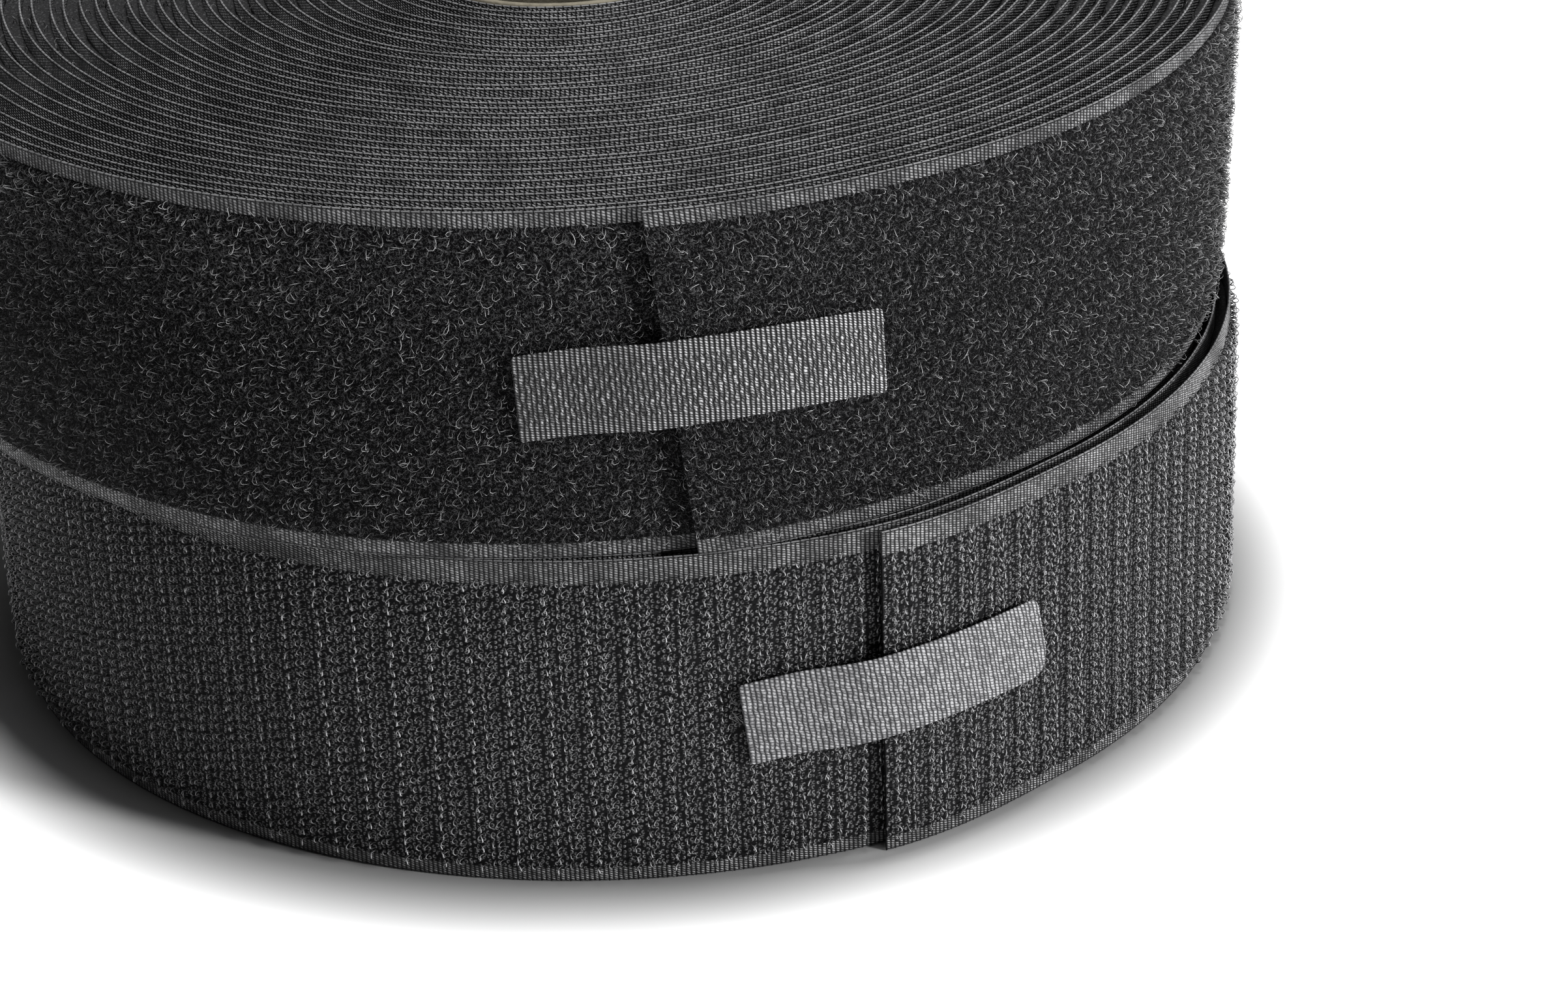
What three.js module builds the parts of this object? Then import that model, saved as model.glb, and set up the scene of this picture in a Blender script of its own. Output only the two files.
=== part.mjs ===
// Two rolls of hook and loop fastener tape, stacked: the loop roll stands on the hook roll.
// Millimetres, +Z up. The hook roll stands on z = 0. Each roll is one tape wound on a card core:
// the inner turns, the outer turn, and the free tail that a short strip of the mating tape holds down.
// The origin is under the middle of the whole stack, on the surface that it stands on.

import * as THREE from 'three';

// Tape: a woven ground with a bare selvedge along both edges and a field of loops or hooks between
const tapeWidth = 50;
const webThickness = 0.6;
const selvedge = 4;
const clearance = 0.3;
const turnGap = 0.55;

// Loop roll
const loopOuterRadius = 100.9;
const loopPitch = 2.2;
const loopCoreRadius = 20.7;
const loopTurns = 24;
const loopSeamAngle = -83;
const loopSeamRun = 5.6;

// Hook roll
const hookOuterRadius = 94.3;
const hookPitch = 2.2;
const hookCoreRadius = 20.7;
const hookTurns = 22;
const hookSeamAngle = -68.85;
const hookSeamRun = 0;

// Card cores
const coreWall = 1.5;
const coreClearance = 0.5;

// How the loop roll sits on the hook roll
const stackGap = 0.3;
const stackShiftX = -5.25;
const stackShiftY = 6.54;

// Neither roll is round: past the seam a turn falls back by the roll's swell, and it gains the swell
// again where it runs round the back, so it comes to the seam as far out as the tail left it
const loopSwell = 1.9;
const hookSwell = 2.2;
const swellFall = 0.36;
const swellFrom = 1.7;
const swellRise = 1.5;

// Free tails, measured along the tape from the cut end to the line where they lift off
const tailLength = 76;

// Closure strips. The overlap is how far a strip reaches past the cut end, the height and the rise
// are those of its lower edge, and a skew is how far the cut of an end runs askew over the width.
const stripEdge = 1.4;
const stripFieldThickness = 0.6;
const stripRampLength = 8;
const stripRampStart = 2;
const loopStripWidth = 12.3;
const loopStripLength = 49.4;
const loopStripOverlap = 20;
const loopStripHeight = 17.9;
const loopStripRise = 1.15;
const loopStripSkewLeft = 0.3;
const loopStripSkewRight = 0.5;
const hookStripWidth = 12.5;
const hookStripLength = 45.9;
const hookStripOverlap = 19.6;
const hookStripHeight = 17.7;
const hookStripRise = 2.1;
const hookStripSkewLeft = 1.4;
const hookStripSkewRight = 2.6;

// Faceting: steps round each turn and along the short pieces
const windingSteps = 24;
const outerTurnSteps = 72;
const tailSteps = 12;
const stripSteps = 18;
const coreSteps = 48;

const fullTurn = 2 * Math.PI;
const radians = THREE.MathUtils.degToRad;

const finishes = {
  card: { color: 0x8d8468, roughness: 0.9, metalness: 0 },
  loopGround: { color: 0x2b2c30, roughness: 0.75, metalness: 0 },
  loopPile: { color: 0x202124, roughness: 0.95, metalness: 0 },
  hookGround: { color: 0x26272a, roughness: 0.7, metalness: 0 },
  hookField: { color: 0x191a1c, roughness: 0.5, metalness: 0 },
  stripBack: { color: 0x3d3e42, roughness: 0.85, metalness: 0 },
};

function mesh(name, geometry, finish) {
  geometry.computeVertexNormals();
  const piece = new THREE.Mesh(geometry, new THREE.MeshStandardMaterial(finishes[finish]));
  piece.name = name;
  return piece;
}

// A roll's own values. Travel is the angle along the tape from its cut end, which grows
// counter-clockwise seen from above while the radius of the tape falls by one pitch a turn.
function roll(name, { outerRadius, pitch, coreRadius, turns, seamAngle, seamRun, swell }) {
  const tailTravel = tailLength / outerRadius;
  return {
    name,
    outerRadius,
    pitch,
    coreRadius,
    turns,
    swell,
    seam: radians(seamAngle),
    lean: seamRun / outerRadius / tapeWidth,
    tailTravel,
    jointTravel: clearance / outerRadius,
    fieldThickness: pitch - webThickness - 2 * clearance,
  };
}

const loopRoll = roll('loop', {
  outerRadius: loopOuterRadius,
  pitch: loopPitch,
  coreRadius: loopCoreRadius,
  turns: loopTurns,
  seamAngle: loopSeamAngle,
  seamRun: loopSeamRun,
  swell: loopSwell,
});
const hookRoll = roll('hook', {
  outerRadius: hookOuterRadius,
  pitch: hookPitch,
  coreRadius: hookCoreRadius,
  turns: hookTurns,
  seamAngle: hookSeamAngle,
  seamRun: hookSeamRun,
  swell: hookSwell,
});

function smooth(share) {
  const k = THREE.MathUtils.clamp(share, 0, 1);
  return k * k * (3 - 2 * k);
}

// How far the swell pushes a turn out at a travel along the tape
function swellAt(tape, travel) {
  const turn = THREE.MathUtils.euclideanModulo(travel, fullTurn);
  return tape.swell * (1 - smooth(turn / swellFall) + smooth((turn - swellFrom) / swellRise));
}

// Outer face of the woven ground at a travel along the tape
function groundRadius(tape, travel) {
  return tape.outerRadius - tape.pitch * travel / fullTurn + swellAt(tape, travel);
}

// Tips of the loops or hooks at a travel along the tape
function fieldRadius(tape, travel) {
  return groundRadius(tape, travel) + clearance + tape.fieldThickness;
}

// Evenly spaced places along the tape. Each has the angle round the roll, the radius that the
// section is drawn from, how high its foot is, how wide the tape is there, and how far the section
// leans with height about the middle of that width.
function stations(tape, from, to, steps, radiusAt, leanAt = () => 0, liftAt = () => 0, width = tapeWidth) {
  return Array.from({ length: steps + 1 }, (unused, i) => {
    const travel = from + (to - from) * i / steps;
    return {
      angle: tape.seam + travel,
      radius: radiusAt(travel),
      lean: leanAt(travel),
      lift: liftAt(travel),
      width,
    };
  });
}

// A rectangular section: how far out from the station's radius, and how high above its foot
function section(inner, outer, low, high) {
  return [[inner, low], [outer, low], [outer, high], [inner, high]];
}

function sectionPoint(place, [out, up]) {
  const radius = place.radius + out;
  const angle = place.angle + place.lean * (place.width / 2 - up);
  return new THREE.Vector3(radius * Math.cos(angle), radius * Math.sin(angle), place.lift + up);
}

// A closed band: the section carried through the stations, with a flat cap at both ends
function band(places, outline) {
  const count = outline.length;
  const points = places.flatMap((place) => outline.map((corner) => sectionPoint(place, corner)));
  const faces = [];
  for (let s = 0; s < places.length - 1; s += 1) {
    for (let i = 0; i < count; i += 1) {
      const j = (i + 1) % count;
      const here = s * count;
      const next = here + count;
      faces.push(here + i, next + i, here + j, here + j, next + i, next + j);
    }
  }
  const last = points.length - count;
  for (let i = 1; i < count - 1; i += 1) {
    faces.push(0, i, i + 1, last, last + i + 1, last + i);
  }
  const geometry = new THREE.BufferGeometry().setFromPoints(points);
  geometry.setIndex(faces);
  return geometry;
}

// Card core: a plain tube whose wall closes on itself in the lathe's profile
function core(tape) {
  const outer = tape.coreRadius;
  const inner = outer - coreWall;
  const profile = [[inner, 0], [outer, 0], [outer, tapeWidth], [inner, tapeWidth], [inner, 0]];
  const geometry = new THREE.LatheGeometry(profile.map(([x, y]) => new THREE.Vector2(x, y)), coreSteps);
  geometry.rotateX(Math.PI / 2);
  return closedLathe(geometry);
}

// A lathe repeats its first column and its first ring: both are joined into one skin
function closedLathe(source) {
  const position = source.getAttribute('position');
  const index = source.getIndex().array;
  const ring = 5;
  const wall = ring - 1;
  const join = (i) => (Math.floor(i / ring) % coreSteps) * wall + (i % ring) % wall;
  const points = [];
  for (let i = 0; i < position.count; i += 1) {
    points[join(i)] ??= new THREE.Vector3().fromBufferAttribute(position, i);
  }
  const geometry = new THREE.BufferGeometry().setFromPoints(points);
  geometry.setIndex(Array.from(index, join));
  return geometry;
}

// Inner turns: one unbroken band from under the outer turn to the core. The swell fades inwards.
function winding(tape) {
  const from = tape.tailTravel + fullTurn + tape.jointTravel;
  const start = groundRadius(tape, from - fullTurn) - webThickness - clearance;
  const room = start - tape.coreRadius - coreClearance + turnGap;
  const pitch = room / (tape.turns + 1);
  const thickness = pitch - turnGap;
  const turnsIn = (travel) => (travel - from) / fullTurn;
  const radiusAt = (travel) => start - pitch * turnsIn(travel)
    + swellAt(tape, travel) * (1 - turnsIn(travel) / tape.turns);
  const places = stations(
    tape, from, from + tape.turns * fullTurn, tape.turns * windingSteps, radiusAt);
  printLeastGap(tape, places, thickness);
  return { geometry: band(places, section(-thickness, 0, 0, tapeWidth)), places, thickness };
}

// Least gap of the winding to itself: each point and chord middle of the outer face of one turn
// against the chords of the inner face of the turn around it
function printLeastGap(tape, places, thickness) {
  const outer = places.map((place) => sectionPoint(place, [0, 0]));
  const inner = places.map((place) => sectionPoint(place, [-thickness, 0]));
  const near = new THREE.Vector3();
  let least = Infinity;
  for (let i = windingSteps; i < places.length - 1; i += 1) {
    const middle = outer[i].clone().lerp(outer[i + 1], 1 / 2);
    const first = Math.max(i - windingSteps - 2, 0);
    for (let k = first; k < i - windingSteps + 2; k += 1) {
      const chord = new THREE.Line3(inner[k], inner[k + 1]);
      for (const point of [outer[i], middle]) {
        chord.closestPointToPoint(point, true, near);
        least = Math.min(least, near.distanceTo(point));
      }
    }
  }
  console.log(`${tape.name}_tape_wound: ${tape.turns} turns, least gap ${least.toFixed(3)} mm`);
}

// Outer turn and tail, each as a woven ground and the field that stands on it
function layer(tape, from, to, steps, leanAt) {
  const places = stations(tape, from, to, steps, (travel) => groundRadius(tape, travel), leanAt);
  const fieldFoot = clearance;
  const fieldTip = clearance + tape.fieldThickness;
  return {
    ground: band(places, section(-webThickness, 0, 0, tapeWidth)),
    field: band(places, section(fieldFoot, fieldTip, selvedge, tapeWidth - selvedge)),
  };
}

// Closure strip: its inner face follows the tail's tips, steps down one pitch past the cut end,
// and follows the tips of the outer turn from there
function strip(tape, { width, length, overlap, height, rise, skewLeft, skewRight }) {
  const from = -overlap / tape.outerRadius;
  const to = from + length / tape.outerRadius;
  const shareAt = (travel) => (travel - from) / (to - from);
  const rampStart = stripRampStart / tape.outerRadius;
  const ramp = stripRampLength / tape.outerRadius;
  const radiusAt = (travel) => fieldRadius(tape, travel) + clearance
    - tape.pitch * smooth((-travel - rampStart) / ramp);
  const leanAt = (travel) => THREE.MathUtils.lerp(skewLeft, skewRight, shareAt(travel))
    / tape.outerRadius / width;
  const liftAt = (travel) => height + rise * shareAt(travel);
  const places = stations(tape, from, to, stripSteps, radiusAt, leanAt, liftAt, width);
  const backFoot = stripFieldThickness + clearance;
  return {
    field: band(places, section(0, stripFieldThickness, stripEdge, width - stripEdge)),
    back: band(places, section(backFoot, backFoot + webThickness, 0, width)),
    hinge: { angle: tape.seam + to, radius: radiusAt(to) + backFoot + webThickness },
  };
}

// One roll as a group, with the names of its nodes
function rollGroup(tape, names, stripShape) {
  const group = new THREE.Group();
  const wound = winding(tape);
  const cut = tape.tailTravel;
  const leanAt = (travel) => tape.lean * (1 - travel / cut);
  const tail = layer(tape, 0, cut, tailSteps, leanAt);
  const outer = layer(tape, cut + tape.jointTravel, cut + fullTurn, outerTurnSteps);
  const closure = strip(tape, stripShape);
  group.add(
    mesh(names.core, core(tape), 'card'),
    mesh(names.wound, wound.geometry, names.groundFinish),
    mesh(names.outerTurn, outer.ground, names.groundFinish),
    mesh(names.outerField, outer.field, names.fieldFinish),
    mesh(names.tail, tail.ground, names.groundFinish),
    mesh(names.tailField, tail.field, names.fieldFinish),
    mesh(names.strip, closure.back, 'stripBack'),
    mesh(names.stripField, closure.field, names.stripFieldFinish),
  );
  const root = { angle: tape.seam + cut, radius: fieldRadius(tape, cut) };
  return { group, wound, root, stripHinge: closure.hinge };
}

const lower = rollGroup(hookRoll, {
  core: 'hook_roll_core',
  wound: 'hook_tape_wound',
  outerTurn: 'hook_tape_outer_turn',
  outerField: 'hook_field_outer_turn',
  tail: 'hook_tape_tail',
  tailField: 'hook_field_tail',
  strip: 'hook_roll_closure_strip',
  stripField: 'hook_roll_strip_loops',
  groundFinish: 'hookGround',
  fieldFinish: 'hookField',
  stripFieldFinish: 'loopPile',
}, {
  width: hookStripWidth,
  length: hookStripLength,
  overlap: hookStripOverlap,
  height: hookStripHeight,
  rise: hookStripRise,
  skewLeft: hookStripSkewLeft,
  skewRight: hookStripSkewRight,
});

const upper = rollGroup(loopRoll, {
  core: 'loop_roll_core',
  wound: 'loop_tape_wound',
  outerTurn: 'loop_tape_outer_turn',
  outerField: 'loop_pile_outer_turn',
  tail: 'loop_tape_tail',
  tailField: 'loop_pile_tail',
  strip: 'loop_roll_closure_strip',
  stripField: 'loop_roll_strip_hooks',
  groundFinish: 'loopGround',
  fieldFinish: 'loopPile',
  stripFieldFinish: 'hookField',
}, {
  width: loopStripWidth,
  length: loopStripLength,
  overlap: loopStripOverlap,
  height: loopStripHeight,
  rise: loopStripRise,
  skewLeft: loopStripSkewLeft,
  skewRight: loopStripSkewRight,
});

upper.group.position.set(stackShiftX, stackShiftY, tapeWidth + stackGap);

const stack = new THREE.Group();
stack.add(lower.group, upper.group);

// The origin goes under the middle of the stack's box
const middle = new THREE.Box3().setFromObject(stack, true).getCenter(new THREE.Vector3());
stack.position.set(-middle.x, -middle.y, 0);
stack.updateMatrixWorld(true);

// Places that a person who mounts or moves the rolls needs, in metres in the stack's frame
function printPlace(name, holder, { angle, radius }, height) {
  const point = new THREE.Vector3(radius * Math.cos(angle), radius * Math.sin(angle), height);
  holder.group.localToWorld(point);
  const metres = point.toArray().map((value) => (value / 1000).toFixed(5));
  console.log(`${name}: ${metres.join(', ')}`);
}

for (const [name, holder] of [['hook', lower], ['loop', upper]]) {
  const place = holder.wound.places[windingSteps];
  const seat = { angle: place.angle, radius: place.radius - holder.wound.thickness / 2 };
  printPlace(`${name} roll axis`, holder, { angle: 0, radius: 0 }, 0);
  printPlace(`${name} tail hinge`, holder, holder.root, 0);
  printPlace(`${name} strip hinge`, holder, holder.stripHinge, 0);
  printPlace(`${name} lower edge seat`, holder, seat, 0);
  printPlace(`${name} upper edge seat`, holder, seat, tapeWidth);
}

export default stack;
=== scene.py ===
# %% [markdown]
# # A stacked pair of fastener tape rolls
#
# A roll of loop tape stands on a roll of hook tape. Each is one long woven ribbon wound on a card core,
# with its free end held down by a short strip of the mating tape. Almost everything that the eye sees is
# thread: the woven edges of many turns, a napped pile of loops, and rows of small filament hooks.
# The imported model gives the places, and this script winds, weaves and plants the threads round them.

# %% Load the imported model
import math
from functools import partialmethod
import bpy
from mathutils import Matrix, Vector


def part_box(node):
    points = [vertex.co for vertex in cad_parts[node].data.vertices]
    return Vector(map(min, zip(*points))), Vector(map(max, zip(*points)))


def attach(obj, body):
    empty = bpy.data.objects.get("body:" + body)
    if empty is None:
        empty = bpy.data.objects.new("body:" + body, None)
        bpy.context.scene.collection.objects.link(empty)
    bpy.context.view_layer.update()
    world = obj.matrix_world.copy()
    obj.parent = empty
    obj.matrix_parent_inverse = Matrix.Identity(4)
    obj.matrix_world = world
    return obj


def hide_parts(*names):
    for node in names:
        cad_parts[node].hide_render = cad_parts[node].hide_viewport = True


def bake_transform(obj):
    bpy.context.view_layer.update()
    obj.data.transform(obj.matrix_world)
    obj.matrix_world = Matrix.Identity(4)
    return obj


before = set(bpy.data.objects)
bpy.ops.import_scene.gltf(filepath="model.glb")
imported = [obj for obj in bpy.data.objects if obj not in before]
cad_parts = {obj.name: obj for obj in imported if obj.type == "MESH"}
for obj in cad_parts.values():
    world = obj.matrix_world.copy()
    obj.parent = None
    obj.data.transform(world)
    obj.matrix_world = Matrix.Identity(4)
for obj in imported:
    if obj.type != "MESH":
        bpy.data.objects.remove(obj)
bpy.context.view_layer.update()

from types import SimpleNamespace

import bpy
import numpy as np
from mathutils import Matrix, Vector

# %% [markdown]
# ## Sizes of the two rolls
#
# All shapes below are worked out in millimetres. A roll is described by travel, the angle in radians
# along the tape from its cut end. The tape winds counter-clockwise seen from above while its radius
# falls by one pitch a turn, so one number says where a thread lies. The cores give the places, and
# the radii and the pitch are the real sizes that the photograph shows.

# %% Rolls
MM = 0.001
FULL_TURN, HALF_TURN = 2 * math.pi, math.pi
GROUND, PITCH, TAIL_LENGTH = 0.32, 2.2, 76.0


def roll_from(name, radius, seam_angle, seam_run, swell, side, selvedges, slot):
    """A roll's values. Its axis, height and core come from its core's box. The rest are real sizes:
    the radius of its outer turn, the angle of its cut end and how far that runs along the tape from
    foot to top, the swell of its turns on the way to the seam, how far its right side stands out of
    the circle at the top and at the foot, and its bare selvedges at the foot and at the top. The
    slot, that of its loops or hooks on the field between the selvedges, is kept but not used."""
    low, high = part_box(f"{name}_roll_core")
    width = (high.z - low.z) / MM
    core_radius = (high.x - low.x) / 2 / MM
    end = FULL_TURN * (radius - core_radius - GROUND) / PITCH
    length = radius * end - PITCH * end ** 2 / (2 * FULL_TURN)
    print(f"{name} roll: {end / FULL_TURN:.1f} turns, {length / 1000:.2f} m of tape")
    return SimpleNamespace(
        name=name, slot=slot, radius=radius, core_radius=core_radius, end=end, width=width,
        axis=np.array([(low.x + high.x) / 2, (low.y + high.y) / 2]) / MM, base=low.z / MM,
        seam=math.radians(seam_angle), lean=seam_run / radius / width, tail=TAIL_LENGTH / radius,
        swell=swell, side=side, field=(selvedges[0], width - selvedges[1]))


loop_roll = roll_from("loop", 100.9, -83.0, seam_run=5.6, swell=1.9, side=(-0.2, -2.6),
                      selvedges=(2.3, 2.3), slot="loop_pile")
hook_roll = roll_from("hook", 94.3, -68.85, seam_run=0.0, swell=2.2, side=(0.8, 0.9),
                      selvedges=(2.2, 3.7), slot="hook_monofilament")

# %% [markdown]
# ## Mesh helpers
#
# Every piece is one or more grids of points. A strand of thread is a thin three-sided tube, because
# there are tens of thousands of them and each is about as wide as a pixel. Curve objects with a bevel
# would give such tubes too, but not so many. A tape is a flat section carried along the spiral. Both
# are computed as whole numpy arrays and handed to the mesh at once.


# %% From arrays to a mesh
CRISP = math.radians(75)


def make_piece(name, points, faces, material, uv=None, shade=None, crisp=False):
    """A mesh object from points (n, 3) in millimetres and a list of face arrays (m, corners).
    uv gives one pair for each point, and shade one number for each point. A crisp piece has sharp
    edges where it turns by more than CRISP, such as at the ends of a tape."""
    mesh = bpy.data.meshes.new(name)
    mesh.vertices.add(len(points))
    mesh.vertices.foreach_set("co", (np.asarray(points) * MM).astype(np.float32).ravel())
    corners = np.concatenate([f.ravel() for f in faces])
    sizes = np.concatenate([np.full(len(f), f.shape[1]) for f in faces])
    mesh.loops.add(len(corners))
    mesh.loops.foreach_set("vertex_index", corners.astype(np.int32))
    mesh.polygons.add(len(sizes))
    starts = np.concatenate([[0], np.cumsum(sizes)[:-1]])
    mesh.polygons.foreach_set("loop_start", starts.astype(np.int32))
    mesh.polygons.foreach_set("use_smooth", np.ones(len(sizes), bool))
    mesh.update(calc_edges=True)
    if crisp:
        mesh.set_sharp_from_angle(angle=CRISP)
    if uv is not None:
        layer = mesh.uv_layers.new(name="UVMap")
        layer.data.foreach_set("uv", np.asarray(uv)[corners].astype(np.float32).ravel())
    if shade is not None:
        attribute = mesh.attributes.new("shade", "FLOAT", "POINT")
        attribute.data.foreach_set("value", np.asarray(shade).astype(np.float32))
    mesh.materials.append(material)
    piece = bpy.data.objects.new(name, mesh)
    bpy.context.scene.collection.objects.link(piece)
    print(f"{name}: {len(points)} points, {int((sizes - 2).sum())} triangles")
    return piece


# %% Many tubes at once
def tubes(paths, radius, sides=3):
    """Points and faces of closed tubes. paths is (n, k, 3). Each ring stands square to the path's
    tangent: its first direction is the tangent crossed with one fixed direction of the path, the
    straight line between its ends crossed with the rise to its middle. The tiny numbers keep a
    straight path or one that ends where it starts from dividing by zero."""
    n, k, _ = paths.shape
    tangent = np.gradient(paths, axis=1)
    tangent /= np.linalg.norm(tangent, axis=2, keepdims=True) + 1e-9
    span = paths[:, -1] - paths[:, 0] + 1e-4
    rise = paths[:, k // 2] - paths[:, 0]
    fixed = np.cross(span, rise) + 1e-5
    fixed /= np.linalg.norm(fixed, axis=1, keepdims=True)
    across = np.cross(tangent, fixed[:, None])
    across /= np.linalg.norm(across, axis=2, keepdims=True) + 1e-9
    other = np.cross(tangent, across)
    angle = np.arange(sides) * FULL_TURN / sides
    ring = across[:, :, None] * np.cos(angle)[:, None] + other[:, :, None] * np.sin(angle)[:, None]
    points = paths[:, :, None] + ring * radius
    base = (np.arange(n) * k * sides)[:, None, None]
    here = base + (np.arange(k - 1) * sides)[None, :, None] + np.arange(sides)[None, None, :]
    turned = np.roll(here, -1, axis=2)
    walls = np.stack([here, turned, turned + sides, here + sides], axis=-1).reshape(-1, 4)
    first = base[:, 0] + np.arange(sides)[::-1]
    last = base[:, 0] + (k - 1) * sides + np.arange(sides)
    return points.reshape(-1, 3), [walls, first, last]


# %% A section carried along a path
def stacked(*parts):
    """Arrays brought to one shape and stacked as the parts of a point."""
    return np.stack(np.broadcast_arrays(*parts), axis=-1)


def carried_piece(name, points, material, uv=None, closed=False):
    """A closed section of c points carried through m stations, (m, c, 3), with a cap at both ends.
    A closed piece goes on to its first station again and has no caps. uv is (m, c, 2)."""
    m, c, _ = points.shape
    here = (np.arange(m) * c)[:, None] + np.arange(c)[None, :]
    ahead = np.roll(here, -1, axis=0)
    walls = np.stack([here, ahead, np.roll(ahead, -1, axis=1), np.roll(here, -1, axis=1)], axis=-1)
    if closed:
        faces = [walls.reshape(-1, 4)]
    else:
        faces = [walls[:-1].reshape(-1, 4), here[:1], here[-1:, ::-1]]
    pairs = None if uv is None else uv.reshape(-1, 2)
    return make_piece(name, points.reshape(-1, 3), faces, material, uv=pairs, crisp=not closed)


# %% Smooth numbers
def wander(x, seed, slowest, count=6):
    """Smooth noise between about -1 and 1: a sum of sines whose lengths shrink from slowest."""
    draw = np.random.default_rng(seed)
    total = np.zeros_like(x, dtype=float)
    for i in range(count):
        rate = FULL_TURN / slowest * (1 + i * draw.uniform(0.5, 0.9))
        total += np.sin(x * rate + draw.uniform(0, FULL_TURN)) / (1 + 0.6 * i)
    return total / 2.2


def smooth_step(x):
    """3 k^2 - 2 k^3, where k is x held between 0 and 1."""
    k = np.clip(x, 0, 1)
    return k * k * (3 - 2 * k)


# %% [markdown]
# ## Where a thread lies on a roll
#
# A real roll is never a perfect spiral. Its turns bulge and crowd together, which shows on the
# photograph as lines that drift apart and close up again. A simulation of winding could give that, but
# sums of sines do it at once and stay the same each run. So the spiral gets a slow swelling that
# neighbouring turns share, and a small one that each turn has to itself. Both fade out at the outer
# turn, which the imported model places.


# %% Spiral
SWELL_FALL, SWELL_FROM, SWELL_RISE = 0.36, 1.7, 1.5
SIDE_ANGLE, SIDE_SPREAD = math.radians(-2.0), 0.17
SHARED_DRIFT, OWN_DRIFT = 0.7, 0.42
FADE_TURNS, SIDE_FADE_TURNS = 3, 10


def inner_turns(roll, travel):
    """0 up to the end of the outer turn, then a smooth change to 1 over the next one."""
    return smooth_step((travel - roll.tail - FULL_TURN) / FULL_TURN)


def seam_swell(roll, travel):
    """A turn falls back by the swell just past the seam and gains it again round the back. The swell
    fades evenly towards the core."""
    turn = travel % FULL_TURN
    share = 1 - smooth_step(turn / SWELL_FALL) + smooth_step((turn - SWELL_FROM) / SWELL_RISE)
    outer = roll.tail + FULL_TURN
    return roll.swell * share * (1 - np.clip((travel - outer) / (roll.end - outer), 0, 1))


def turn_radius(roll, travel):
    """Radius of the outer face of the woven ground: the spiral plus its swellings."""
    deep = smooth_step((roll.end - travel) / (FADE_TURNS * FULL_TURN))
    shared = wander(travel % FULL_TURN, seed=11, slowest=FULL_TURN / 2)
    shared = shared * wander(travel, seed=12, slowest=9 * FULL_TURN, count=3)
    own = wander(travel, seed=13, slowest=0.7 * FULL_TURN, count=8)
    drift = inner_turns(roll, travel) * deep * (SHARED_DRIFT * shared + OWN_DRIFT * own)
    return roll.radius - PITCH * travel / FULL_TURN + seam_swell(roll, travel) + drift


def side_swell(roll, travel, angle, up):
    """How far the right side of the roll stands out: a smooth hump over the angle, with one height
    at the top and another at the foot, that fades towards the core."""
    hump = np.exp((np.cos(angle - SIDE_ANGLE) - 1) / SIDE_SPREAD)
    share = up / roll.width
    deep = smooth_step((roll.end - travel) / (SIDE_FADE_TURNS * FULL_TURN))
    return hump * deep * (roll.side[0] * share + roll.side[1] * (1 - share))


# %% Places and directions on a roll
def on_roll(roll, travel, out, up, lean=0.0):
    """Points at a travel along the tape, out from its woven ground and up from its lower edge."""
    angle = roll.seam + travel + lean * (roll.width / 2 - up)
    radius = turn_radius(roll, travel) + out + side_swell(roll, travel, angle, up)
    x = roll.axis[0] + radius * np.cos(angle)
    y = roll.axis[1] + radius * np.sin(angle)
    return stacked(x, y, roll.base + up)


def cut_lean(roll, travel):
    """The slant of the cut end, which fades to nothing where the tail begins."""
    return roll.lean * np.clip(1 - travel / roll.tail, 0, 1)


def local_directions(roll, travel):
    """Outward, along and up at places on a roll, each (n, 3)."""
    angle = roll.seam + travel
    cos, sin, zero = np.cos(angle), np.sin(angle), np.zeros_like(angle)
    return stacked(cos, sin, zero), stacked(-sin, cos, zero), stacked(zero, zero, 1.0)


# %% Distance along the tape
def distance_at(roll, travel):
    """Distance along the tape from the cut end: the spiral's arc length."""
    return roll.radius * travel - PITCH * travel ** 2 / (2 * FULL_TURN)


def travel_at(roll, distance):
    """Travel at a distance along the tape from the cut end, distance_at solved for it."""
    inside = roll.radius ** 2 - PITCH * np.asarray(distance) * 2 / FULL_TURN
    return (roll.radius - np.sqrt(inside)) * FULL_TURN / PITCH


def stations(roll, start, stop, step):
    """Distances about a step apart between two travels, as a column, and their travels."""
    first, last = distance_at(roll, start), distance_at(roll, stop)
    distance = np.linspace(first, last, int((last - first) / step) + 2)[:, None]
    return distance, travel_at(roll, distance)


# %% [markdown]
# ## Numbers in a node tree
#
# A procedural finish is a formula, and in Blender each sum or product of a formula is a Math node.
# Image textures would need hand-drawn pictures that repeat, while formulas stay sharp over 14 m of
# tape. To keep them readable, a Number stands for a socket, and writing a + b adds the node.


# %% What feeds a node
def feed(tree, socket, value):
    """Links a socket or a Number to an input, or sets the input to a constant."""
    value = getattr(value, "socket", value)
    if isinstance(value, bpy.types.NodeSocket):
        tree.links.new(value, socket)
    else:
        socket.default_value = value


def add_node(tree, kind, inputs=(), **values):
    """A node with its properties and what goes into some of its inputs, by name or number."""
    node = tree.nodes.new(kind)
    for key, value in values.items():
        setattr(node, key, value)
    for key, value in dict(inputs).items():
        feed(tree, node.inputs[key], value)
    return node


def maths(tree, operation, *inputs):
    """A Math node's result, from sockets, Numbers or constants."""
    node = add_node(tree, "ShaderNodeMath", enumerate(inputs), operation=operation)
    return Number(tree, node.outputs[0])


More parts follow.
